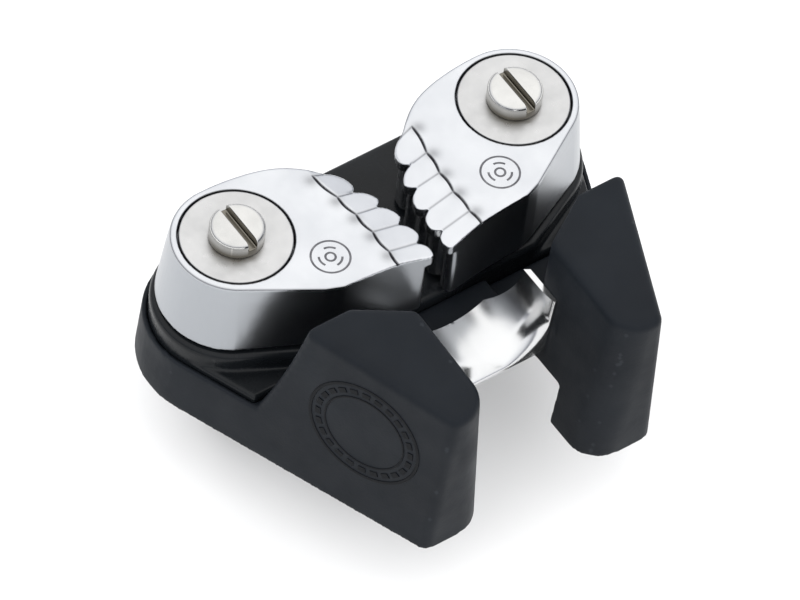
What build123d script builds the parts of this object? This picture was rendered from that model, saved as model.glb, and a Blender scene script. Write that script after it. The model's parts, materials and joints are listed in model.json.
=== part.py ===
"""Cam cleat with an integral fairlead, millimetres.

X runs from cam to cam, +Y points to the load side (rear), -Y to the crew side
where the rope comes out between the two horns, +Z is up. The origin is on the
underside, half way between the two fixing screws. The cleat is symmetric about
X = 0: each pair is made on the left (negative X) and mirrored.
"""
from build123d import *
import os
from math import cos, degrees, pi, radians, sin, tan

# ---- driving dimensions -------------------------------------------------
HOLE_SPACING = 38.0                 # centres of the two fixing screws
PIVOT_X = HOLE_SPACING / 2

# fairlead base
END_RADIUS = 10.0                   # round ends at the underside
DRAFT = tan(radians(2.6))           # moulding draft of the outer walls
SIDE_ANGLE = 22.25                  # each side runs inward by this, going forward
FRONT_Y = -35.0
FRONT_DRAFT = -0.022                # the front faces lean forward a little
RIM_Z = 7.4
FLOOR_Z = 3.0                       # seat of the cleat base
RECESS_RADIUS = 9.05                # at the round ends
BRIDGE_BOTTOM_Z = 6.5               # underside of the throat bridge
BRIDGE_TOP_Z = 8.8                  # under the insert
DECK_Z = 9.0                        # between the insert and the cleat base
BRIDGE_FRONT_Y = -22.6
FRONT_WALL_Y = -16.0                # front wall of the body, under the bridge
THROAT_HALF = 6.85                  # inner face of a horn at z = 0
THROAT_DRAFT = 0.0907
HORN_TOP_Z = 24.7                   # at the rear of the horn
HORN_TOP_FALL = 0.074               # fall of the horn's top towards the front
HORN_FOOT = (24.8, -11.65)          # rear outer edge at the rim
HORN_PEAK = (21.7, -16.7)           # rear outer edge at the top
HORN_REAR_CORNER = (15.6, -16.8)
HORN_INNER_CORNER = (7.0, -21.95)   # inside the throat's slot, so the slot trims it
HORN_WALL = 2.2
HORN_POCKET_Z = 20.0
HORN_POCKET_REAR_Y = -18.8
HORN_INNER_R = 4.0                  # inner front corner
HORN_OUTER_R = 1.4                  # outer front corner
HORN_EDGE_R = 1.2                   # soft top edges, inside and at the front
HORN_REAR_R = 0.7
ARCH_Y = (-27.5, -18.5)             # gap under the inner wall of a horn
HORN_CEILING = 27.0                 # above every horn, for the cutters

# cleat base
CLEAT_GAP = 0.05                    # slip fit in the fairlead base
CLEAT_FRONT_Y = -12.2
PLATE_Z = 8.2
ISLAND_Z = 10.5
ISLAND_RADIUS = 9.0
ISLAND_CORNER_X = 14.6              # where its front edge ends
ISLAND_LEAVE = 65.0                 # where its front side leaves the round end
SPRING_POCKET_R = 7.2
SPRING_POCKET_Z = 4.0

# cams
CAM_BOTTOM_Z = 11.0
CAM_TOP_Z = 21.0
CAM_LIP_Z = 18.6                    # underside of the toothed lip
CAM_UNDERCUT = 0.9
CAM_EDGE_R = 0.4
CAM_R_TOP = 7.45
CAM_R_LIP = 7.75
CAM_R_BOTTOM = 8.5
TOOTH_FALL = 1.0                    # the teeth's top slopes down by this
TOE_SWING_R = 21.6                  # clears the lower part of a cam's toe in all its travel

# outline of the left cam about its pivot, +x towards the rope, +y to the rear
CAM_REAR_SIDE = [(5.0, 7.1), (9.6, 5.75), (13.3, 2.9)]
TOOTH_TIPS = [(15.8, -0.3), (17.2, -3.2), (17.9, -6.5), (18.2, -9.7), (18.1, -12.6)]
TOOTH_VALLEYS = [(14.1, 2.4), (14.8, -1.3), (16.1, -4.3), (16.8, -7.5), (17.1, -10.7)]
TOOTH_ROOTS = [(12.0, 4.0), (12.9, -1.2), (13.3, -4.3), (13.5, -7.3), (13.5, -10.5), (13.5, -13.6)]
CAM_TOE = (17.5, -13.2)
CAM_NOSE_HOLLOW = (12.0, -12.45)
CAM_SHOULDER = (6.4, -12.05)
CAM_FRONT_SIDE = (4.4, -11.3)
CAM_FRONT_ANGLE = 239.0             # where the front side leaves the round end

# bearing, screw and spring
SCREW_R = 2.0                       # threaded length, under the base
SHANK_R = 1.8                       # plain shank, inside the cleat
SCREW_HOLE_R = 2.15
SCREW_END_Z = -10.5
HEAD_R = 3.2
HEAD_H = 2.3
SLOT_WIDTH = 1.15
SLOT_DEPTH = 1.2
HUB_R = 3.4
BALL_R = 1.2
BALL_COUNT = 11
BALL_ROWS_Z = (13.6, 17.6)
RUNNING_GAP = 0.05
CAP_R = 6.45
CAP_THICKNESS = 1.3
CAP_POCKET_R = 6.65
WASHER_R = 7.8
WASHER_T = 0.4
SPRING_R = 5.8
SPRING_WIRE_R = 0.45
SPRING_PITCH = 1.15
SPRING_TURNS = 4

# fairlead insert: a bell-mouthed steel liner
INSERT_FRONT_Y = -24.0
INSERT_REAR_Y = -16.1
INSERT_TOP_Z = 17.6
INSERT_BOTTOM_Z = 8.85
INSERT_WALL = 0.65
INSERT_LAND = 0.2                   # flat front edge left by the bell mouth
CHANNEL_BOTTOM_Z = 10.1
CHANNEL_CORNER_R = 6.2
MOUTH_CORNER_R = 3.6
MOUTH_LENGTH = 2.8
FIT_GAP = 0.03


def throat_half(z):
    """Half the distance between the horns at height z."""
    return THROAT_HALF + THROAT_DRAFT * z


def both_sides(shape):
    return shape + mirror(shape, about=Plane.YZ)


def at_pivot(shape):
    return Pos(-PIVOT_X, 0, 0) * shape


def ring(outer, inner, z0, z1):
    height = z1 - z0
    solid = Cylinder(outer, height, align=(Align.CENTER, Align.CENTER, Align.MIN))
    bore = Cylinder(inner, height, align=(Align.CENTER, Align.CENTER, Align.MIN))
    return Pos(0, 0, z0) * (solid - bore)


def slab(x0, x1, y0, y1, z0, z1):
    box = Box(x1 - x0, y1 - y0, z1 - z0, align=(Align.MIN, Align.MIN, Align.MIN))
    return Pos(x0, y0, z0) * box


def outline(radius, front_y, z):
    """Round-ended plan whose sides converge forward to a straight front."""
    a = radians(SIDE_ANGLE)
    out_x, out_y = cos(a), -sin(a)
    tangent = (PIVOT_X + radius * out_x, radius * out_y)
    corner = (PIVOT_X + (radius - out_y * front_y) / out_x, front_y)
    bend = (pi / 2 - a) / 2
    middle = (PIVOT_X + radius * cos(bend), radius * sin(bend))
    right = Curve() + [
        Line((0, radius), (PIVOT_X, radius)),
        ThreePointArc((PIVOT_X, radius), middle, tangent),
        Line(tangent, corner),
        Line(corner, (0, front_y)),
    ]
    return Pos(0, 0, z) * make_face(right + mirror(right, about=Plane.YZ))


def polygon(points, z):
    return Pos(0, 0, z) * make_face(Polyline(*points, close=True))


def edges_where(shape, test):
    """The edges whose middle point passes the test."""
    return shape.edges().filter_by(lambda edge: test(edge.center()))


# ---- fairlead base --------------------------------------------------------
def horn_rear_cutter():
    """Everything above the rim behind the horns."""
    def level(foot, z):
        slope = (foot[1] - HORN_REAR_CORNER[1]) / (foot[0] - HORN_REAR_CORNER[0])
        far = (40.0, HORN_REAR_CORNER[1] + slope * (40.0 - HORN_REAR_CORNER[0]))
        right = [(40.0, 20.0), far, HORN_REAR_CORNER, HORN_INNER_CORNER]
        left = [(-x, y) for x, y in reversed(right)]
        return polygon(right + left, z)
    rise = (HORN_CEILING - RIM_Z) / (HORN_TOP_Z - RIM_Z)
    peak = tuple(f + (p - f) * rise for f, p in zip(HORN_FOOT, HORN_PEAK))
    return loft([level(HORN_FOOT, RIM_Z), level(peak, HORN_CEILING)], ruled=True)


def throat_cutter(y0, y1, z0, z1):
    """A slot between the horns, wider at the top."""
    half0, half1 = throat_half(z0), throat_half(z1)
    face = make_face(Polyline((-half0, z0), (half0, z0), (half1, z1), (-half1, z1), close=True))
    return Pos(0, y0, 0) * extrude(Plane.XZ * face, amount=-(y1 - y0))


def horn_pocket():
    """Hollow of the left horn, open at the underside."""
    a = radians(SIDE_ANGLE)

    def level(z, shrink):
        reach = END_RADIUS - DRAFT * z - HORN_WALL - shrink
        front = FRONT_Y + HORN_WALL + shrink
        rear = HORN_POCKET_REAR_Y - shrink
        inner = -(throat_half(z) + HORN_WALL + shrink)

        def side_x(y):
            return -(PIVOT_X + (reach + sin(a) * y) / cos(a))
        return polygon([(side_x(rear), rear), (side_x(front), front), (inner, front),
                        (inner, rear - 3.0), (inner - 4.5, rear)], z)
    return loft([level(-0.5, 0), level(HORN_POCKET_Z, 0.6)], ruled=True)


def u_section(y, inset, bottom, corner):
    """Closed U between the horns, its sides set in from their faces."""
    def side(z):
        return throat_half(z) - inset
    top = INSERT_TOP_Z + 2
    u_line = FilletPolyline((side(top), top), (side(bottom), bottom),
                            (-side(bottom), bottom), (-side(top), top), radius=corner)
    lid = Line((-side(top), top), (side(top), top))
    return Pos(0, y, 0) * (Plane.XZ * make_face(Curve() + [u_line, lid]))


def channel():
    """The rope's way through the insert: straight, then a flared mouth."""
    start = FIT_GAP + INSERT_WALL
    end = FIT_GAP + INSERT_LAND
    flare_y = INSERT_FRONT_Y + MOUTH_LENGTH
    bottom_end = INSERT_BOTTOM_Z + INSERT_LAND
    sections = []
    for angle in (0, 30, 60, 90):
        t = 1 - cos(radians(angle))
        sections.append(u_section(flare_y - MOUTH_LENGTH * sin(radians(angle)),
                                  start + (end - start) * t,
                                  CHANNEL_BOTTOM_Z + (bottom_end - CHANNEL_BOTTOM_Z) * t,
                                  CHANNEL_CORNER_R + (MOUTH_CORNER_R - CHANNEL_CORNER_R) * t))
    straight = extrude(sections[0], amount=-10, dir=(0, -1, 0))
    return loft(sections) + straight


def toe_swing(z0, z1):
    """The space that the cams' toes sweep, over the throat."""
    disc = Cylinder(TOE_SWING_R, z1 - z0, align=(Align.CENTER, Align.CENTER, Align.MIN))
    return both_sides(at_pivot(Pos(0, 0, z0) * disc))


def soften_horns(body):
    """Round the horns' front corners and top edges."""
    front = FRONT_Y + FRONT_DRAFT * 12
    inner = edges_where(body, lambda c: abs(c.Y - front) < 1 and abs(c.X) < 9.5 and c.Z > 5)
    body = fillet(inner, HORN_INNER_R)
    outer = edges_where(body, lambda c: abs(c.Y - front) < 1 and abs(c.X) > 14 and c.Z > 5)
    body = fillet(outer, HORN_OUTER_R)
    soft = edges_where(body, lambda c: c.Z > 22 and abs(c.X) < 15.5 and c.Y < -22)
    body = fillet(soft, HORN_EDGE_R)
    rear = edges_where(body, lambda c: c.Z > 24.3 and c.Y > -19.5)
    return fillet(rear, HORN_REAR_R)


def fairlead_base():
    body = loft([outline(END_RADIUS, FRONT_Y, 0),
                 outline(END_RADIUS - DRAFT * HORN_CEILING, FRONT_Y + FRONT_DRAFT * HORN_CEILING,
                         HORN_CEILING)], ruled=True)
    body -= horn_rear_cutter()
    body -= throat_cutter(-40, BRIDGE_FRONT_Y, -1, HORN_CEILING + 1)
    body -= throat_cutter(-40, 5, RIM_Z - 0.5, HORN_CEILING + 1)
    body -= throat_cutter(-40, FRONT_WALL_Y, -1, BRIDGE_BOTTOM_Z)
    lid = Pos(0, HORN_PEAK[1], HORN_TOP_Z) * Rot(degrees(HORN_TOP_FALL), 0, 0)
    body -= lid * slab(-40, 40, -40, 40, 0, 20)
    body = soften_horns(body)
    half = throat_half(BRIDGE_TOP_Z) + 0.1
    cleat_front = CLEAT_FRONT_Y - CLEAT_GAP
    body += slab(-half, half, BRIDGE_FRONT_Y, INSERT_REAR_Y, BRIDGE_BOTTOM_Z, BRIDGE_TOP_Z)
    body += slab(-half, half, INSERT_REAR_Y, cleat_front, BRIDGE_BOTTOM_Z, DECK_Z)
    body -= extrude(outline(RECESS_RADIUS, cleat_front, FLOOR_Z), amount=20)
    body -= both_sides(horn_pocket() + slab(-11, -6, *ARCH_Y, -1, BRIDGE_BOTTOM_Z))
    body -= both_sides(at_pivot(Pos(0, 0, -1) * Cylinder(SCREW_HOLE_R, 10)))
    return body


# ---- cleat base -------------------------------------------------------------
def island_outline():
    """Plan of the raised middle that carries both cams."""
    a = radians(ISLAND_LEAVE)
    leave = (PIVOT_X + ISLAND_RADIUS * cos(a), -ISLAND_RADIUS * sin(a))
    bend = (pi / 2 - a) / 2
    middle = (PIVOT_X + ISLAND_RADIUS * cos(bend), ISLAND_RADIUS * sin(bend))
    corner = (ISLAND_CORNER_X, CLEAT_FRONT_Y)
    right = Curve() + [
        Line((0, ISLAND_RADIUS), (PIVOT_X, ISLAND_RADIUS)),
        ThreePointArc((PIVOT_X, ISLAND_RADIUS), middle, leave),
        Line(leave, corner),
        Line(corner, (0, CLEAT_FRONT_Y)),
    ]
    return make_face(right + mirror(right, about=Plane.YZ))


def cleat_base():
    plan = outline(RECESS_RADIUS - CLEAT_GAP, CLEAT_FRONT_Y, FLOOR_Z)
    body = extrude(plan, amount=PLATE_Z - FLOOR_Z)
    body = fillet(body.edges().group_by(Axis.Z)[-1], 0.5)
    island = Pos(0, 0, PLATE_Z - 1) * extrude(island_outline(), amount=ISLAND_Z - PLATE_Z + 1)
    island = fillet(island.edges().group_by(Axis.Z)[-1], 0.8)
    body += island
    pocket = Cylinder(SPRING_POCKET_R, 20, align=(Align.CENTER, Align.CENTER, Align.MIN))
    body -= both_sides(at_pivot(Pos(0, 0, SPRING_POCKET_Z) * pocket))
    body -= both_sides(at_pivot(Cylinder(SCREW_HOLE_R, 40)))
    return body


# ---- cams ---------------------------------------------------------------------
def cam_section(radius, undercut, z):
    """Plan of the left cam at height z, with its teeth set back by the undercut."""
    def back(point):
        return (point[0] - undercut, point[1])
    a = radians(CAM_FRONT_ANGLE)
    leave = (radius * cos(a), radius * sin(a))
    start = (0, radius)
    corner = back(TOOTH_VALLEYS[0])
    last = len(TOOTH_TIPS) - 1
    nose = ThreePointArc(CAM_TOE, CAM_NOSE_HOLLOW, CAM_SHOULDER)
    nose = nose.trim(undercut / nose.length, 1) if undercut else nose
    toe = nose @ 0
    toe = (toe.X, toe.Y)
    edges = [Spline(start, *CAM_REAR_SIDE[:-1], back(CAM_REAR_SIDE[-1]), tangents=[(1, 0), (1, -1)])]
    edges.append(Line(back(CAM_REAR_SIDE[-1]), corner))
    for number, tip in enumerate(TOOTH_TIPS):
        valley = back(TOOTH_VALLEYS[number])
        peak = back(tip)
        swell = ((valley[0] + peak[0]) / 2 + 0.45, (valley[1] + peak[1]) / 2 + 0.25)
        edges.append(ThreePointArc(valley, swell, peak))
        following = back(TOOTH_VALLEYS[number + 1]) if number < last else toe
        edges.append(ThreePointArc(peak, ((peak[0] + following[0]) / 2 + 0.15,
                                          (peak[1] + following[1]) / 2 - 0.1), following))
    edges.append(nose)
    edges.append(Line(CAM_SHOULDER, CAM_FRONT_SIDE))
    edges.append(Line(CAM_FRONT_SIDE, leave))
    edges.append(ThreePointArc(leave, (-radius, 0), start))
    return Pos(0, 0, z) * make_face(Curve() + edges)


def tooth_bevel(number):
    """What is cut from the top of one tooth: a plane from its root line down to its tip."""
    rear, front = TOOTH_ROOTS[number], TOOTH_ROOTS[number + 1]
    tip = TOOTH_TIPS[number]
    prism = extrude(polygon([rear, front, (front[0] + 8, front[1]), (rear[0] + 8, rear[1])],
                            CAM_LIP_Z), amount=10)
    a = Vector(rear[0], rear[1], CAM_TOP_Z)
    b = Vector(front[0], front[1], CAM_TOP_Z)
    c = Vector(tip[0], tip[1], CAM_TOP_Z - TOOTH_FALL)
    normal = (c - a).cross(b - a)
    if normal.Z < 0:
        normal = normal * -1
    return split(prism, bisect_by=Plane(origin=a, z_dir=normal), keep=Keep.TOP)


def cam():
    lower = loft([cam_section(CAM_R_BOTTOM, CAM_UNDERCUT, CAM_BOTTOM_Z),
                  cam_section(CAM_R_LIP, CAM_UNDERCUT, CAM_LIP_Z)], ruled=True)
    upper = loft([cam_section(CAM_R_LIP, 0, CAM_LIP_Z),
                  cam_section(CAM_R_TOP, 0, CAM_TOP_Z)], ruled=True)
    body = lower + upper
    round_top = edges_where(body, lambda c: c.Z > CAM_TOP_Z - 0.01 and c.X < 6)
    body = fillet(round_top, CAM_EDGE_R)
    for number in range(len(TOOTH_TIPS)):
        body -= tooth_bevel(number)
    race = HUB_R + 2 * BALL_R + 2 * RUNNING_GAP
    body -= Pos(0, 0, CAM_BOTTOM_Z - 1) * Cylinder(
        race, 20, align=(Align.CENTER, Align.CENTER, Align.MIN))
    body -= Pos(0, 0, CAM_TOP_Z - CAP_THICKNESS - RUNNING_GAP) * Cylinder(
        CAP_POCKET_R, 10, align=(Align.CENTER, Align.CENTER, Align.MIN))
    return body


# ---- bearing, spring and screw ------------------------------------------------
def hub():
    foot = ring(HUB_R + 0.7, SCREW_HOLE_R, SPRING_POCKET_Z, SPRING_POCKET_Z + 1.2)
    return foot + ring(HUB_R, SCREW_HOLE_R, SPRING_POCKET_Z, CAM_TOP_Z - CAP_THICKNESS)


def hub_cap():
    body = ring(CAP_R, SCREW_HOLE_R, CAM_TOP_Z - CAP_THICKNESS, CAM_TOP_Z)
    rim = body.edges().filter_by(GeomType.CIRCLE).group_by(Axis.Z)[-1].sort_by(SortBy.RADIUS)[-1]
    return fillet(rim, 0.15)


def ball_row(z):
    pitch_radius = HUB_R + RUNNING_GAP + BALL_R
    places = PolarLocations(pitch_radius, BALL_COUNT)
    return [Pos(0, 0, z) * place * Sphere(BALL_R) for place in places]


def ball_spacer():
    low, high = BALL_ROWS_Z
    gap = 0.1
    return ring(HUB_R + 2 * BALL_R, HUB_R + RUNNING_GAP, low + BALL_R + gap, high - BALL_R - gap)


def thrust_washer():
    """A flat washer with a collar that carries the lower row of balls."""
    flat = ring(WASHER_R, HUB_R + RUNNING_GAP, ISLAND_Z, ISLAND_Z + WASHER_T)
    collar = ring(HUB_R + 2 * BALL_R, HUB_R + RUNNING_GAP, ISLAND_Z, BALL_ROWS_Z[0] - BALL_R - 0.1)
    return flat + collar


def spring():
    height = SPRING_PITCH * SPRING_TURNS
    path = Helix(pitch=SPRING_PITCH, height=height, radius=SPRING_R)
    start = path @ 0
    section = Plane(origin=start, z_dir=path % 0) * Circle(SPRING_WIRE_R)
    return Pos(0, 0, SPRING_POCKET_Z + SPRING_WIRE_R + 0.15) * sweep(section, path=path)


def screw():
    low = (Align.CENTER, Align.CENTER, Align.MIN)
    thread = Pos(0, 0, SCREW_END_Z) * Cylinder(SCREW_R, -SCREW_END_Z, align=low)
    thread = chamfer(thread.edges().group_by(Axis.Z)[0], 0.5)
    shank = thread + Cylinder(SHANK_R, CAM_TOP_Z, align=low)
    head = Pos(0, 0, CAM_TOP_Z) * Cylinder(
        HEAD_R, HEAD_H, align=(Align.CENTER, Align.CENTER, Align.MIN))
    head = fillet(head.edges().group_by(Axis.Z)[-1], 0.5)
    slot = slab(-SLOT_WIDTH / 2, SLOT_WIDTH / 2, -5, 5, CAM_TOP_Z + HEAD_H - SLOT_DEPTH, CAM_TOP_Z + 5)
    return shank + (head - slot)


def fairlead_insert():
    block = extrude(u_section(INSERT_FRONT_Y, FIT_GAP, INSERT_BOTTOM_Z, 0.6),
                    amount=INSERT_REAR_Y - INSERT_FRONT_Y, dir=(0, 1, 0))
    block -= channel()
    block -= slab(-20, 20, -40, 0, INSERT_TOP_Z, 40)
    block -= toe_swing(CAM_BOTTOM_Z - 0.4, 30)
    corners = edges_where(block, lambda c: c.Y < INSERT_FRONT_Y + 0.01 and c.Z > INSERT_TOP_Z - 0.01)
    return fillet(corners, 1.5)


def write(name, shape):
    export_step(shape, f"parts/{name}.step")


def write_pair(name, shapes):
    """Write a left piece at its pivot, and its mirror image on the right."""
    shapes = shapes if isinstance(shapes, list) else [shapes]
    left = Compound(children=[at_pivot(shape) for shape in shapes])
    right = Compound(children=[mirror(at_pivot(shape), about=Plane.YZ) for shape in shapes])
    write(f"left_{name}", left)
    write(f"right_{name}", right)


def main():
    os.makedirs("parts", exist_ok=True)
    write("fairlead_base", fairlead_base())
    write("cleat_base", cleat_base())
    write("fairlead_insert", fairlead_insert())
    write_pair("cam", cam())
    write_pair("hub", hub())
    write_pair("hub_cap", hub_cap())
    write_pair("lower_balls", ball_row(BALL_ROWS_Z[0]))
    write_pair("upper_balls", ball_row(BALL_ROWS_Z[1]))
    write_pair("ball_spacer", ball_spacer())
    write_pair("thrust_washer", thrust_washer())
    write_pair("spring", spring())
    write_pair("screw", screw())


main()
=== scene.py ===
"""Cam cleat with a rope fairlead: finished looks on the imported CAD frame, in metres."""

import json
import math

import bmesh
import bpy
from mathutils import Matrix, Vector
from mathutils.bvhtree import BVHTree
from mathutils.kdtree import KDTree

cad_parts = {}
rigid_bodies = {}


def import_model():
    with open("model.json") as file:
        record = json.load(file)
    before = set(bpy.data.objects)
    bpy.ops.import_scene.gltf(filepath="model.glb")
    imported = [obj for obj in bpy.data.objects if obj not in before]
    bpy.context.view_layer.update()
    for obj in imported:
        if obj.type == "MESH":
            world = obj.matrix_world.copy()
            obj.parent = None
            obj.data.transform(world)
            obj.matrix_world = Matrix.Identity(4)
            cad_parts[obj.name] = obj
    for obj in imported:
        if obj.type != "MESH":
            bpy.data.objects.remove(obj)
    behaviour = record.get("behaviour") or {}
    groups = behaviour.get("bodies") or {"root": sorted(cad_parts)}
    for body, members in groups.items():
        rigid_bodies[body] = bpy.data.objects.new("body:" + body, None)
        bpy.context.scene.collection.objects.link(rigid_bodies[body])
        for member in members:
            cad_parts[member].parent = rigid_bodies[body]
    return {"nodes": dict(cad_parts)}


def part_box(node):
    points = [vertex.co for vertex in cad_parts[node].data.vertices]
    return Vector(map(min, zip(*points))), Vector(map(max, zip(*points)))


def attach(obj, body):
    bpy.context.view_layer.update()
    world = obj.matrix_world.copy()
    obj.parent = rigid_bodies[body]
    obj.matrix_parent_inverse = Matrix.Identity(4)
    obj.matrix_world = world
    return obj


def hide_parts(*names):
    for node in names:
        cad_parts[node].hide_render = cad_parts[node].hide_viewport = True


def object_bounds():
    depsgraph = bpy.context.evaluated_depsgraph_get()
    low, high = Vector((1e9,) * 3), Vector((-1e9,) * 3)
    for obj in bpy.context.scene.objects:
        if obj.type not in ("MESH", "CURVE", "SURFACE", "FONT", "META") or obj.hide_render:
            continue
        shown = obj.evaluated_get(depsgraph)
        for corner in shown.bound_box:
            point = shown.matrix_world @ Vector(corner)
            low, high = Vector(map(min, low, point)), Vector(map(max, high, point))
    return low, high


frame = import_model()
CAD_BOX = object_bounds()
MM = 0.001

# ---------------------------------------------------------------- materials


NOISE_SPAN = (0.3, 0.7)             # where most of a noise texture's values lie
WORN_SPAN = (0.53, 0.62)            # pointiness of an edge, from untouched to fully worn
WAVES_PER_METRE = 300
CAST_ROUGHNESS = 0.28


def ramp(nodes, links, source, dark, light):
    node = nodes.new("ShaderNodeValToRGB")
    for element, position, colour in zip(node.color_ramp.elements, NOISE_SPAN, (dark, light)):
        element.position = position
        element.color = (*colour, 1)
    links.new(source, node.inputs["Fac"])
    return node.outputs["Color"]


def noise(nodes, links, coords, per_metre, detail, stretch=(1, 1, 1)):
    mapping = nodes.new("ShaderNodeMapping")
    mapping.inputs["Scale"].default_value = stretch
    links.new(coords, mapping.inputs["Vector"])
    node = nodes.new("ShaderNodeTexNoise")
    node.inputs["Scale"].default_value = per_metre
    node.inputs["Detail"].default_value = detail
    links.new(mapping.outputs["Vector"], node.inputs["Vector"])
    return node.outputs["Fac"]


def remap(nodes, links, source, span, target=(0.0, 1.0)):
    node = nodes.new("ShaderNodeMapRange")
    node.inputs["From Min"].default_value = span[0]
    node.inputs["From Max"].default_value = span[1]
    node.inputs["To Min"].default_value = target[0]
    node.inputs["To Max"].default_value = target[1]
    links.new(source, node.inputs["Value"])
    return node.outputs["Result"]


def attribute(nodes, name):
    node = nodes.new("ShaderNodeAttribute")
    node.attribute_name = name
    return node.outputs["Fac"]


def mixed(nodes, links, kind, mask, base, value):
    """The base, with this value mixed in where the mask is high. The kind is FLOAT or RGBA."""
    node = nodes.new("ShaderNodeMix")
    node.data_type = kind
    node.inputs["B"].default_value = value
    links.new(mask, node.inputs["Factor"])
    links.new(base, node.inputs["A"])
    return node.outputs["Result"]


def bump(nodes, links, height, micrometres):
    node = nodes.new("ShaderNodeBump")
    node.inputs["Distance"].default_value = micrometres * 1e-6
    links.new(height, node.inputs["Height"])
    return node


def finish_of(name, dark, light, rough, patch, grain, grain_um, metal=0.0, specular=0.5,
              stretch=(1, 1, 1), wave_um=0.0, wear=None, painted_shade=None, rough_wall_painted_shade=None):
    """A procedural surface: patchy colour and roughness, with fine grain and slow waves in the bump.

    Patch and grain are noise scales per metre. Wear is the tint of worn edges. The next tint is painted
    shade and painted reflection where the mesh attribute "shade" marks; the last is a darker colour,
    painted shade, on the walls that "side" marks, which are also rougher, as cast.
    """
    material = bpy.data.materials.new(name)
    material.use_nodes = True
    nodes = material.node_tree.nodes
    links = material.node_tree.links
    shader = nodes["Principled BSDF"]
    shader.inputs["Metallic"].default_value = metal
    shader.inputs["Specular IOR Level"].default_value = specular
    coords = nodes.new("ShaderNodeTexCoord").outputs["Object"]

    colour = ramp(nodes, links, noise(nodes, links, coords, patch, 6.0, stretch), dark, light)
    roughness = remap(nodes, links, noise(nodes, links, coords, patch * 3, 4.0, stretch), NOISE_SPAN, rough)
    # the walls that "side" marks: a darker colour that is painted shade, and a rougher cast finish
    if rough_wall_painted_shade is not None:
        side = attribute(nodes, "side")
        colour = mixed(nodes, links, "RGBA", side, colour, (*rough_wall_painted_shade, 1))
        roughness = mixed(nodes, links, "FLOAT", side, roughness, CAST_ROUGHNESS)
    if wear is not None:
        pointiness = nodes.new("ShaderNodeNewGeometry").outputs["Pointiness"]
        worn = remap(nodes, links, pointiness, WORN_SPAN)
        colour = mixed(nodes, links, "RGBA", worn, colour, (*wear, 1))
    # painted shade and painted reflection, where the mesh attribute "shade" marks
    if painted_shade is not None:
        colour = mixed(nodes, links, "RGBA", attribute(nodes, "shade"), colour, (*painted_shade, 1))
    links.new(colour, shader.inputs["Base Color"])
    links.new(roughness, shader.inputs["Roughness"])

    fine = bump(nodes, links, noise(nodes, links, coords, grain, 2.0, stretch), grain_um)
    if wave_um:
        slow = bump(nodes, links, noise(nodes, links, coords, WAVES_PER_METRE, 1.0), wave_um)
        links.new(slow.outputs["Normal"], fine.inputs["Normal"])
    links.new(fine.outputs["Normal"], shader.inputs["Normal"])
    return material


HORN_PLASTIC = finish_of("fairlead_nylon", (0.0036, 0.0047, 0.0066), (0.0052, 0.0068, 0.0092), (0.46, 0.58),
                         patch=90, grain=3200, grain_um=12, wear=(0.011, 0.013, 0.016), specular=0.12)
CLEAT_PLASTIC = finish_of("cleat_nylon", (0.0035, 0.0042, 0.005), (0.0055, 0.0065, 0.0078), (0.2, 0.34),
                          patch=140, grain=2400, grain_um=4, wear=(0.009, 0.010, 0.011), specular=0.16)
# the cams' tint where "shade" marks is painted shade and a painted reflection line; their walls' darker
# tint is painted shade
CAM_METAL = finish_of("polished_alloy", (0.47, 0.48, 0.5), (0.53, 0.54, 0.557), (0.16, 0.25), metal=1.0,
                      patch=200, grain=2600, grain_um=2.2, wave_um=3, painted_shade=(0.01, 0.01, 0.012),
                      rough_wall_painted_shade=(0.35, 0.365, 0.385))
INSERT_METAL = finish_of("mirror_steel", (0.55, 0.555, 0.56), (0.61, 0.61, 0.61), (0.16, 0.22), metal=1.0,
                         patch=150, grain=1500, grain_um=0.6, stretch=(1, 0.2, 1))
CAP_METAL = finish_of("satin_steel", (0.41, 0.409, 0.407), (0.48, 0.478, 0.475), (0.26, 0.38), metal=1.0,
                      patch=300, grain=3500, grain_um=2.5)
# the screws' tint where "shade" marks is painted shade in the slot and a painted dark reflection round the
# foot of the head
SCREW_METAL = finish_of("screw_steel", (0.45, 0.447, 0.436), (0.53, 0.526, 0.51), (0.12, 0.22), metal=1.0,
                        patch=350, grain=2600, grain_um=2.0, wear=(0.7, 0.69, 0.66),
                        painted_shade=(0.09, 0.078, 0.055))
HIDDEN_METAL = finish_of("hub_steel", (0.45, 0.45, 0.45), (0.58, 0.58, 0.57), (0.25, 0.4), metal=1.0,
                         patch=400, grain=3000, grain_um=3, stretch=(1, 1, 6))
SPRING_METAL = finish_of("spring_wire", (0.35, 0.35, 0.36), (0.5, 0.5, 0.5), (0.22, 0.36), metal=1.0,
                         patch=500, grain=4000, grain_um=3)
BALL_PLASTIC = finish_of("ball_resin", (0.16, 0.15, 0.13), (0.22, 0.21, 0.19), (0.15, 0.25),
                         patch=600, grain=3000, grain_um=1.5)
CAGE_PLASTIC = finish_of("cage_resin", (0.012, 0.012, 0.013), (0.02, 0.02, 0.022), (0.35, 0.5),
                         patch=300, grain=3000, grain_um=6)
MARK_INK = finish_of("etched_mark", (0.10, 0.10, 0.11), (0.18, 0.18, 0.19), (0.5, 0.65), metal=1.0,
                     patch=900, grain=6000, grain_um=3)
EMBLEM_PLASTIC = finish_of("emblem_nylon", (0.0018, 0.0022, 0.003), (0.0028, 0.0034, 0.0044), (0.4, 0.5),
                           patch=200, grain=3200, grain_um=8, specular=0.08)

NODE_FINISH = {
    "fairlead_base": HORN_PLASTIC,
    "cleat_base": CLEAT_PLASTIC,
    "fairlead_insert": INSERT_METAL,
    "cam": CAM_METAL,
    "hub": HIDDEN_METAL,
    "hub_cap": CAP_METAL,
    "lower_balls": BALL_PLASTIC,
    "upper_balls": BALL_PLASTIC,
    "ball_spacer": CAGE_PLASTIC,
    "thrust_washer": CAGE_PLASTIC,
    "spring": SPRING_METAL,
    "screw": SCREW_METAL,
}


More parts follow.
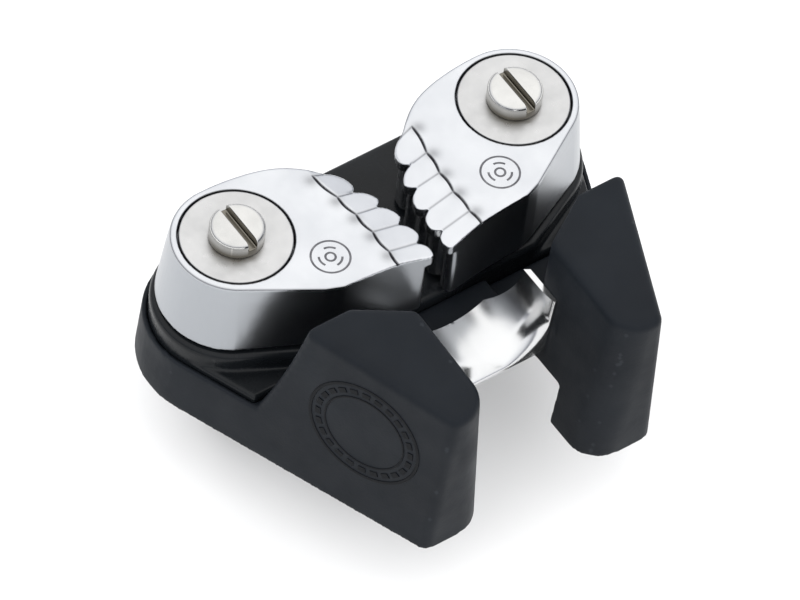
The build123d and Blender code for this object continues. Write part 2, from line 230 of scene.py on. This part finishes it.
def finish_for(node):
    for side in ("left_", "right_"):
        if node.startswith(side):
            return NODE_FINISH[node[len(side):]]
    return NODE_FINISH[node]


def paint(obj, material):
    obj.data.materials.clear()
    obj.data.materials.append(material)


for node_name, node_obj in frame["nodes"].items():
    for place in range(len(node_obj.material_slots)):
        node_obj.material_slots[place].material = finish_for(node_name)

# ---------------------------------------------------------------- mesh helpers


def add_piece(name, mesh, material, body, nodes=()):
    obj = bpy.data.objects.new(name, mesh)
    bpy.context.scene.collection.objects.link(obj)
    paint(obj, material)
    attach(obj, body)
    if nodes:
        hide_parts(*nodes)
    return obj


def baked(mesh, modifiers):
    """The mesh after these modifiers, each a (type, settings) pair."""
    scratch = bpy.data.objects.new("scratch", mesh)
    bpy.context.scene.collection.objects.link(scratch)
    for kind, settings in modifiers:
        modifier = scratch.modifiers.new(kind, kind)
        for key, value in settings.items():
            setattr(modifier, key, value)
    graph = bpy.context.evaluated_depsgraph_get()
    result = bpy.data.meshes.new_from_object(scratch.evaluated_get(graph))
    bpy.data.objects.remove(scratch)
    result.polygons.foreach_set("use_smooth", [True] * len(result.polygons))
    return result


def softened(mesh, voxel_mm, rounds):
    """A closed mesh with every edge slightly rounded, as moulded, cast and tumbled parts have."""
    return baked(mesh, [
        ("REMESH", {"mode": "VOXEL", "voxel_size": voxel_mm * MM, "use_smooth_shade": True}),
        ("SMOOTH", {"factor": 0.5, "iterations": rounds}),
    ])


def skin(bm, rows, capped=True):
    """Joins rows of vertices, each a closed ring, and caps both ends."""
    for low, high in zip(rows, rows[1:]):
        count = len(low)
        for i in range(count):
            j = (i + 1) % count
            bm.faces.new((low[i], low[j], high[j], high[i]))
    if capped:
        bm.faces.new(list(reversed(rows[0])))
        bm.faces.new(rows[-1])


def soften_node(node, name, voxel_mm, rounds):
    source = frame["nodes"][node]
    body = source.parent.name.split(":")[-1]
    mesh = softened(source.data.copy(), voxel_mm, rounds)
    mesh.materials.clear()
    return add_piece(name, mesh, finish_for(node), body, (node,))


# ---------------------------------------------------------------- moulded, cast and turned parts

horns = soften_node("fairlead_base", "fairlead_body", voxel_mm=0.2, rounds=9)
soften_node("cleat_base", "cleat_plate", voxel_mm=0.16, rounds=7)
cams = {
    side: soften_node(side + "_cam", side + "_cam_jaw", voxel_mm=0.1, rounds=24)
    for side in ("left", "right")
}
for side in ("left", "right"):
    soften_node(side + "_hub_cap", side + "_cap_disc", voxel_mm=0.1, rounds=5)

# ---------------------------------------------------------------- chased lines between the teeth, with painted shade and a painted rim reflection

# outline points about the left cam's pivot in mm, +x towards the rope; the right cam mirrors them
TOOTH_ROOTS = [(12.2, 2.7), (12.9, -1.2), (13.3, -4.3), (13.5, -7.3), (13.5, -10.5), (13.5, -13.6)]
TOOTH_VALLEYS = [(14.1, 2.4), (14.8, -1.3), (16.1, -4.3), (16.8, -7.5), (17.1, -10.7)]
LIP_Z = 17.5                        # nothing below this is chased
UPWARD_TILT = 0.2                   # least upward part of a normal that counts as facing up

CREASE_BOW = 0.22                   # a root line bows towards the pivot by this
CREASE_WIDTH = 0.13
CREASE_DEPTH = 0.2
# painted shade that darkens each groove
CREASE_SHADE = 1.5
ROOT_WEIGHTS = (0.45, 1.2)          # of a root line at its ends and in its middle
VALLEY_WEIGHTS = (0.3, 0.3)
CREASE_STEPS = 60
# painted shade: soft dark patches on the pivot side of each tooth root
SHADE_PATCH_SHIFT = (-0.55, -0.5)        # from a root point, towards the pivot and the front
SHADE_PATCH_WIDTH = 0.8
SHADE_PATCH_STRENGTH = 0.4

# a painted dark reflection line along the rounded rim of the top
RIM_DROP = 0.7                      # the rounded rim reaches this far below the top
RIM_SHADE = 0.6
RIM_TILT = 0.6                      # the rim is darkest where its normal tilts like this
RIM_TILT_REACH = 0.32

SIDE_TILT = 0.5                     # walls count as cast, rougher and with a darker colour that is painted shade, from this tilt, fully SIDE_BLEND below it
SIDE_BLEND = 0.3
FLANK_FROM_X = 13.5                 # the toothed flank stays polished: from here towards the rope
FLANK_TO_Y = -12.2                  # and as far forward as this


def along(start, stop, bow, weights):
    """Points (x, y, weight) from start to stop, bowed towards the pivot; weights at ends and middle."""
    points = []
    for i in range(CREASE_STEPS + 1):
        t = i / CREASE_STEPS
        swell = math.sin(math.pi * t)
        x = start[0] + (stop[0] - start[0]) * t - bow * swell
        weight = weights[0] + (weights[1] - weights[0]) * swell
        points.append((x, start[1] + (stop[1] - start[1]) * t, weight))
    return points


def mark_sides(mesh, tilts, pivot_x, sign):
    """Marks a cam's walls, apart from the toothed flank, as cast: rougher, and with a darker colour that is
    painted shade.
    """
    side = mesh.attributes.new("side", "FLOAT", "POINT").data
    for vert, tilt in zip(mesh.vertices, tilts):
        reach = sign * (vert.co.x / MM - pivot_x)
        if reach < FLANK_FROM_X or vert.co.y / MM < FLANK_TO_Y:
            side[vert.index].value = min(1.0, max(0.0, (SIDE_TILT - tilt) / SIDE_BLEND))


def chase(mesh, tilts, pivot_x, sign):
    """Presses fine grooves round the teeth into the upward surfaces, and marks painted shade for the
    finish: in the grooves, in soft patches on the pivot side of the roots, and a painted dark reflection
    along the rounded rim.
    """
    points = []
    for start, stop in zip(TOOTH_ROOTS, TOOTH_ROOTS[1:]):
        points += along(start, stop, CREASE_BOW, ROOT_WEIGHTS)
    for start, stop in zip(TOOTH_ROOTS, TOOTH_VALLEYS):
        points += along(start, stop, 0.0, VALLEY_WEIGHTS)
    tree = KDTree(len(points))
    for i, (x, y, _) in enumerate(points):
        tree.insert((pivot_x + sign * x, y, 0), i)
    tree.balance()
    shade_patches = [
        (pivot_x + sign * (x + SHADE_PATCH_SHIFT[0]), y + SHADE_PATCH_SHIFT[1])
        for x, y in TOOTH_ROOTS[:-1]
    ]
    shade = mesh.attributes.new("shade", "FLOAT", "POINT").data
    rim_z = max(vert.co.z for vert in mesh.vertices) - RIM_DROP * MM
    for vert, tilt in zip(mesh.vertices, tilts):
        if tilt < UPWARD_TILT or vert.co.z / MM < LIP_Z:
            continue
        x, y = vert.co.x / MM, vert.co.y / MM
        # painted dark reflection along the rounded rim
        if vert.co.z > rim_z:
            shade[vert.index].value = RIM_SHADE * max(0.0, 1 - abs(tilt - RIM_TILT) / RIM_TILT_REACH)
        _, index, distance = tree.find((x, y, 0))
        if distance > SHADE_PATCH_WIDTH * 3:
            continue
        # painted shade along the groove
        depth = points[index][2] * math.exp(-((distance / CREASE_WIDTH) ** 2))
        # painted shade in soft patches beside the tooth roots
        near = min(math.hypot(x - shade_patch_x, y - shade_patch_y) for shade_patch_x, shade_patch_y in shade_patches)
        patch_shade = SHADE_PATCH_STRENGTH * math.exp(-((near / SHADE_PATCH_WIDTH) ** 2))
        shade[vert.index].value = min(1.0, shade[vert.index].value + depth * CREASE_SHADE + patch_shade)
        vert.co.z -= CREASE_DEPTH * MM * depth


for side, sign in (("left", 1), ("right", -1)):
    low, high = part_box(side + "_screw")
    pivot_x = (low[0] + high[0]) / 2 / MM
    cam_mesh = cams[side].data
    cam_tilts = [normal.vector.z for normal in cam_mesh.vertex_normals]
    mark_sides(cam_mesh, cam_tilts, pivot_x, sign)
    chase(cam_mesh, cam_tilts, pivot_x, sign)

# ---------------------------------------------------------------- polished rope insert

THROAT_HALF = 6.85
THROAT_DRAFT = 0.0907
INSERT_GAP = 0.05
INSERT_WALL = 0.68
INSERT_LAND = 0.25
CHANNEL_FLOOR_Z = 10.1
CHANNEL_CORNER = 7.4
MOUTH_CORNER = 4.6
MOUTH_LENGTH = 2.8
OUTER_CORNER = 0.6
EDGE_GAP = 0.02                     # inside the CAD piece, below and on top
PIVOT_X = 19.0
TOE_SWING_R = 21.6
FLOOR_STEPS = 13
CORNER_STEPS = 24
WALL_STEPS = 8
STRAIGHT_STEPS = 16
FLARE_STEPS = 24


def u_path(inset, floor_z, corner, top_z):
    """A U between the horns as a list of (x, z), left to right."""
    def side(z):
        return THROAT_HALF + THROAT_DRAFT * z - inset
    lean = math.atan(THROAT_DRAFT)
    sweep = math.pi / 2 - lean
    reach = corner * math.tan(sweep / 2)
    centre_x = side(floor_z) - reach
    half = []
    for i in range(FLOOR_STEPS):
        half.append((centre_x * i / FLOOR_STEPS, floor_z))
    for i in range(CORNER_STEPS + 1):
        turn = sweep * i / CORNER_STEPS
        half.append((centre_x + corner * math.sin(turn), floor_z + corner * (1 - math.cos(turn))))
    start_z = half[-1][1]
    for i in range(1, WALL_STEPS + 1):
        z = start_z + (top_z - start_z) * i / WALL_STEPS
        half.append((side(z), z))
    return [(-x, z) for x, z in reversed(half[1:])] + half


def insert_rear(x, rear):
    """Where the insert starts at this x: its sides are cut back to let the cams' toes swing by."""
    reach = TOE_SWING_R ** 2 - (PIVOT_X - abs(x)) ** 2
    return min(rear, -math.sqrt(max(reach, 0.0)))


def insert_mesh():
    """A U-shaped liner: straight at the rear, with a flared and rounded front mouth."""
    low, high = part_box("fairlead_insert")
    front, rear = low[1] / MM, high[1] / MM
    floor_z, top_z = low[2] / MM, high[2] / MM
    flare_y = front + MOUTH_LENGTH
    # each station is (share of the way from the cut rear, y, how far flared)
    stations = [(i / STRAIGHT_STEPS, flare_y, 0.0) for i in range(STRAIGHT_STEPS)]
    for i in range(FLARE_STEPS + 1):
        turn = math.radians(90 * i / FLARE_STEPS)
        stations.append((1.0, flare_y - MOUTH_LENGTH * math.sin(turn), 1 - math.cos(turn)))
    start_inset = INSERT_GAP + INSERT_WALL
    end_inset = INSERT_GAP + INSERT_LAND
    outer = u_path(INSERT_GAP, floor_z + EDGE_GAP, OUTER_CORNER, top_z - EDGE_GAP)
    bm = bmesh.new()
    rows = []
    for share, y, t in stations:
        inner = u_path(
            start_inset + (end_inset - start_inset) * t,
            CHANNEL_FLOOR_Z + (floor_z + INSERT_LAND - CHANNEL_FLOOR_Z) * t,
            CHANNEL_CORNER + (MOUTH_CORNER - CHANNEL_CORNER) * t,
            top_z - EDGE_GAP,
        )
        row = []
        for x, z in inner + list(reversed(outer)):
            start = insert_rear(x, rear)
            row.append(bm.verts.new((x * MM, (start + (y - start) * share) * MM, z * MM)))
        rows.append(row)
    skin(bm, rows, capped=False)
    count = len(outer)
    for row in (rows[0], rows[-1]):
        for i in range(count - 1):
            bm.faces.new((row[i], row[i + 1], row[2 * count - 2 - i], row[2 * count - 1 - i]))
    bmesh.ops.recalc_face_normals(bm, faces=bm.faces)
    mesh = bpy.data.meshes.new("insert")
    bm.to_mesh(mesh)
    bm.free()
    mesh.polygons.foreach_set("use_smooth", [True] * len(mesh.polygons))
    mesh.set_sharp_from_angle(angle=math.radians(35))
    return mesh


add_piece("rope_insert", insert_mesh(), INSERT_METAL, "base", ("fairlead_insert",))

# ---------------------------------------------------------------- screws

THREAD_R = 2.0
THREAD_DEPTH = 0.36
THREAD_PITCH = 0.7
THREAD_CREST = 1.35                 # above 1, so that the crest is flat
THREAD_FLANK = 3.4                  # fall of the thread's flanks, as a share of depth per pitch
SHANK_R = 1.8
TIP_CHAMFER = 0.7
TIP_SLOPE = 0.9
TURN_STEPS = 56
PITCH_STEPS = 8
HEAD_STEPS = 96
HEAD_EDGE = 0.7                     # radius of the top edge
HEAD_EDGE_STEPS = 8
HEAD_FOOT = 0.12                    # chamfer at the bottom
SLOT_WIDTH = 1.15
SLOT_DEPTH = 1.2
# painted shade in the slot, and a painted dark reflection band round the foot of the head
SLOT_SHADE = 0.85
FOOT_SHADE = 0.9
FOOT_FROM_R = 2.6
FOOT_HEIGHT = 1.35


def thread_radius(z, angle, tip_z):
    phase = (z / THREAD_PITCH - angle / math.tau) % 1.0
    crest = min(1.0, max(0.0, THREAD_CREST - abs(phase - 0.5) * THREAD_FLANK))
    radius = THREAD_R - THREAD_DEPTH * (1 - crest)
    return min(radius, THREAD_R - TIP_CHAMFER + (z - tip_z) * TIP_SLOPE)


def shank_mesh(centre, tip_z, top_z):
    """Threaded below the base, plain above it."""
    bm = bmesh.new()
    steps = round(-tip_z / THREAD_PITCH * PITCH_STEPS)
    levels = [tip_z * (1 - i / steps) for i in range(steps)]
    rows = []
    for z in levels + [0.0, top_z]:
        ring = []
        for i in range(TURN_STEPS):
            angle = math.tau * i / TURN_STEPS
            radius = SHANK_R if z >= 0 else thread_radius(z, angle, tip_z)
            ring.append(bm.verts.new((
                (centre[0] + radius * math.cos(angle)) * MM,
                (centre[1] + radius * math.sin(angle)) * MM,
                z * MM,
            )))
        rows.append(ring)
    skin(bm, rows)
    mesh = bpy.data.meshes.new("shank")
    bm.to_mesh(mesh)
    bm.free()
    return mesh


def head_mesh(centre, low_z, high_z, radius):
    """A slotted cheese head with a rounded top edge."""
    profile = [(radius - HEAD_FOOT, low_z), (radius, low_z + HEAD_FOOT), (radius, high_z - HEAD_EDGE)]
    for i in range(1, HEAD_EDGE_STEPS + 1):
        turn = math.radians(90 * i / HEAD_EDGE_STEPS)
        profile.append((
            radius - HEAD_EDGE * (1 - math.cos(turn)),
            high_z - HEAD_EDGE * (1 - math.sin(turn)),
        ))
    bm = bmesh.new()
    rows = []
    for r, z in profile:
        rows.append([
            bm.verts.new((
                (centre[0] + r * math.cos(math.tau * i / HEAD_STEPS)) * MM,
                (centre[1] + r * math.sin(math.tau * i / HEAD_STEPS)) * MM,
                z * MM,
            ))
            for i in range(HEAD_STEPS)
        ])
    skin(bm, rows)
    head = bpy.data.meshes.new("head")
    bm.to_mesh(head)
    bm.free()

    bm = bmesh.new()
    bmesh.ops.create_cube(bm, size=1.0)
    size = Vector((SLOT_WIDTH, radius * 3, SLOT_DEPTH * 2))
    place = Vector((centre[0], centre[1], high_z))
    for vert in bm.verts:
        vert.co = Vector(place[i] + vert.co[i] * size[i] for i in range(3)) * MM
    cutter_mesh = bpy.data.meshes.new("slot")
    bm.to_mesh(cutter_mesh)
    bm.free()
    cutter = bpy.data.objects.new("slot_cutter", cutter_mesh)
    bpy.context.scene.collection.objects.link(cutter)
    cut = baked(head, [("BOOLEAN", {"operation": "DIFFERENCE", "object": cutter, "solver": "EXACT"})])
    bpy.data.objects.remove(cutter)
    return softened(cut, voxel_mm=0.07, rounds=4)


def joined(meshes, name):
    bm = bmesh.new()
    for mesh in meshes:
        bm.from_mesh(mesh)
    bmesh.ops.recalc_face_normals(bm, faces=bm.faces)
    result = bpy.data.meshes.new(name)
    bm.to_mesh(result)
    bm.free()
    result.polygons.foreach_set("use_smooth", [True] * len(result.polygons))
    return result


def shade_screw(mesh, centre, low_z, high_z):
    """Marks the slot and the foot of the head for painted shade: a darker slot, and a painted dark
    reflection band round the foot.
    """
    shade = mesh.attributes.new("shade", "FLOAT", "POINT").data
    for vert in mesh.vertices:
        x, y, z = vert.co.x / MM - centre[0], vert.co.y / MM - centre[1], vert.co.z / MM
        if z < low_z:
            continue
        deep = min(1.0, max(0.0, (high_z - 0.15 - z) / 0.7))
        if abs(x) < SLOT_WIDTH / 2 + 0.04:
            shade[vert.index].value = SLOT_SHADE * deep
        elif math.hypot(x, y) > FOOT_FROM_R:
            foot = min(1.0, max(0.0, low_z + FOOT_HEIGHT - z))
            shade[vert.index].value = FOOT_SHADE * foot


for side in ("left", "right"):
    low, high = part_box(side + "_screw")
    centre = ((low[0] + high[0]) / 2 / MM, (low[1] + high[1]) / 2 / MM)
    head_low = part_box(side + "_hub_cap")[1][2] / MM
    parts = [
        shank_mesh(centre, low[2] / MM, head_low),
        head_mesh(centre, head_low, high[2] / MM, (high[0] - low[0]) / 2 / MM),
    ]
    screw_mesh = joined(parts, side + "_machine_screw")
    shade_screw(screw_mesh, centre, head_low, high[2] / MM)
    add_piece(side + "_machine_screw", screw_mesh, SCREW_METAL, "base", (side + "_screw",))

# ---------------------------------------------------------------- plain marks


MARK_SINK = 0.03                    # a strip's edges are under the surface by this
MARK_BEVEL = 0.06
MARK_STEP = 3                       # degrees
RAY_START = 0.004                   # metres, outside the surface
RAY_LENGTH = 0.012


def mark_mesh(name, target, centre, normal, up, strips, lift_mm):
    """Thin raised strips laid on the target's surface.

    A strip is (inner radius, outer radius, from angle, to angle), in mm and degrees.
    """
    graph = bpy.context.evaluated_depsgraph_get()
    tree = BVHTree.FromObject(target, graph)
    across = up.cross(normal).normalized()
    upward = normal.cross(across).normalized()
    bm = bmesh.new()

    def on_surface(radius, angle, lift):
        flat = centre + (across * math.cos(angle) + upward * math.sin(angle)) * radius * MM
        hit = tree.ray_cast(flat + normal * RAY_START, -normal, RAY_LENGTH)[0]
        return (hit or flat) + normal * lift * MM

    for inner, outer, start, stop in strips:
        steps = max(1, round(abs(stop - start) / MARK_STEP))
        ladder = []
        for i in range(steps + 1):
            angle = math.radians(start + (stop - start) * i / steps)
            ladder.append([
                bm.verts.new(on_surface(inner, angle, -MARK_SINK)),
                bm.verts.new(on_surface(inner + MARK_BEVEL, angle, lift_mm)),
                bm.verts.new(on_surface(outer - MARK_BEVEL, angle, lift_mm)),
                bm.verts.new(on_surface(outer, angle, -MARK_SINK)),
            ])
        for near, far in zip(ladder, ladder[1:]):
            for i in range(3):
                bm.faces.new((near[i], near[i + 1], far[i + 1], far[i]))
            bm.faces.new((near[3], near[0], far[0], far[3]))
        if abs(stop - start) < 360:
            bm.faces.new(ladder[0])
            bm.faces.new(list(reversed(ladder[-1])))
    bmesh.ops.remove_doubles(bm, verts=bm.verts, dist=1e-7)
    bmesh.ops.recalc_face_normals(bm, faces=bm.faces)
    mesh = bpy.data.meshes.new(name)
    bm.to_mesh(mesh)
    bm.free()
    return mesh


UP = Vector((0, 0, 1))
REARWARD = Vector((0, 1, 0))

CAM_MARK_R = 2.4
CAM_MARK_AT = (7.4, -7.8)           # from the pivot, towards the rope and the front
CAM_MARK_LIFT = 0.012
CAM_MARK_STRIPS = [(CAM_MARK_R - 0.34, CAM_MARK_R, 0, 360), (0.4, 0.75, 0, 360)]
CAM_MARK_STRIPS += [(1.15, 1.5, start, start + 60) for start in (30, 150, 270)]

for side, sign in (("left", 1), ("right", -1)):
    low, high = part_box(side + "_screw")
    pivot = Vector(((low[0] + high[0]) / 2, (low[1] + high[1]) / 2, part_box(side + "_cam")[1][2]))
    spot = pivot + Vector((sign * CAM_MARK_AT[0], CAM_MARK_AT[1], 0)) * MM
    name = side + "_cam_mark"
    mesh = mark_mesh(name, cams[side], spot, UP, REARWARD, CAM_MARK_STRIPS, CAM_MARK_LIFT)
    add_piece(name, mesh, MARK_INK, side + "_cam")

EMBLEM_AT = Vector((-18.65, -25.63, 13.59)) * MM
EMBLEM_NORMAL = Vector((-0.9246, -0.3783, 0.0454))
EMBLEM_R = 7.3
EMBLEM_LIFT = 0.09
EMBLEM_STRIPS = [(EMBLEM_R - 0.45, EMBLEM_R, 0, 360), (EMBLEM_R - 2.3, EMBLEM_R - 2.0, 0, 360)]
EMBLEM_STRIPS += [(EMBLEM_R - 1.6, EMBLEM_R - 0.85, start, start + 9) for start in range(0, 360, 15)]
emblem_mesh = mark_mesh("horn_emblem", horns, EMBLEM_AT, EMBLEM_NORMAL, UP, EMBLEM_STRIPS, EMBLEM_LIFT)
add_piece("horn_emblem", emblem_mesh, EMBLEM_PLASTIC, "base")

# ---------------------------------------------------------------- camera, floor and light

CAMERA_AT = (-0.4604, -0.5318, 0.9079)
CAMERA_RIGHT = Vector((0.81769, -0.56914, 0.08623))
CAMERA_UP = Vector((0.41076, 0.68184, 0.60528))
CAMERA_BACK = Vector((-0.40329, -0.45952, 0.79133))

camera_data = bpy.data.cameras.new("camera")
camera_data.lens = 454.5
camera_data.sensor_width = 36
camera_data.clip_start = 0.05
camera_data.clip_end = 20
camera = bpy.data.objects.new("camera", camera_data)
bpy.context.scene.collection.objects.link(camera)
turn = Matrix((CAMERA_RIGHT, CAMERA_UP, CAMERA_BACK)).transposed().to_4x4()
camera.matrix_world = Matrix.Translation(CAMERA_AT) @ turn
bpy.context.scene.camera = camera

FLOOR_HALF = 4.0
FLOOR_GAP = 0.0002                  # under the screws' tips
floor_mesh = bpy.data.meshes.new("floor")
floor_z = CAD_BOX[0][2] - FLOOR_GAP
corners = [(x * FLOOR_HALF, y * FLOOR_HALF, floor_z) for x, y in ((-1, -1), (1, -1), (1, 1), (-1, 1))]
floor_mesh.from_pydata(corners, [], [(0, 1, 2, 3)])
floor = bpy.data.objects.new("floor", floor_mesh)
bpy.context.scene.collection.objects.link(floor)
paint(floor, finish_of("floor_paper", (0.62, 0.62, 0.62), (0.64, 0.64, 0.64), (0.8, 0.9),
                       patch=4, grain=300, grain_um=20))

# the sky's tone by height: dark near the horizon, which shows in the metal, and white overhead
SKY_TONES = [
    (0.0, (0.1, 0.11, 0.13)),
    (0.12, (0.24, 0.25, 0.28)),
    (0.3, (0.72, 0.73, 0.76)),
    (0.72, (1.0, 1.0, 1.0)),
]
SKY_STRENGTH = 1.75

world = bpy.data.worlds.new("studio")
bpy.context.scene.world = world
world.use_nodes = True
sky_nodes = world.node_tree.nodes
sky_links = world.node_tree.links
sky = sky_nodes["Background"]
direction = sky_nodes.new("ShaderNodeTexCoord").outputs["Generated"]
split = sky_nodes.new("ShaderNodeSeparateXYZ")
sky_links.new(direction, split.inputs["Vector"])
tones = sky_nodes.new("ShaderNodeValToRGB")
for height, tone in SKY_TONES:
    stop = tones.color_ramp.elements.new(height)
    stop.color = (*tone, 1)
tones.color_ramp.elements.remove(tones.color_ramp.elements[0])
sky_links.new(split.outputs["Z"], tones.inputs["Fac"])
sky_links.new(tones.outputs["Color"], sky.inputs["Color"])
sky.inputs["Strength"].default_value = SKY_STRENGTH


def softbox(name, azimuth, elevation, distance, size, watts):
    """An area light that faces the object. Azimuth 0 is in front of it (-Y), 90 is on its right (+X)."""
    data = bpy.data.lights.new(name, "AREA")
    data.shape = "RECTANGLE"
    data.size = size[0]
    data.size_y = size[1]
    data.energy = watts
    light = bpy.data.objects.new(name, data)
    bpy.context.scene.collection.objects.link(light)
    a = math.radians(azimuth)
    e = math.radians(elevation)
    away = Vector((math.sin(a) * math.cos(e), -math.cos(a) * math.cos(e), math.sin(e)))
    light.location = away * distance
    light.rotation_mode = "QUATERNION"
    light.rotation_quaternion = (-away).to_track_quat("-Z", "Y")
    light.visible_glossy = False
    return light


softbox("left_box", -75, 45, 1.2, (0.6, 0.9), 4)
softbox("front_box", 10, 30, 1.4, (0.8, 0.6), 5)
softbox("right_box", 85, 35, 1.4, (0.6, 0.8), 3)
for low_azimuth in (0, 90, 180, 270):
    softbox("low_box_" + str(low_azimuth), low_azimuth, 14, 1.5, (1.6, 0.6), 12)

bpy.context.scene.view_settings.view_transform = "Standard"
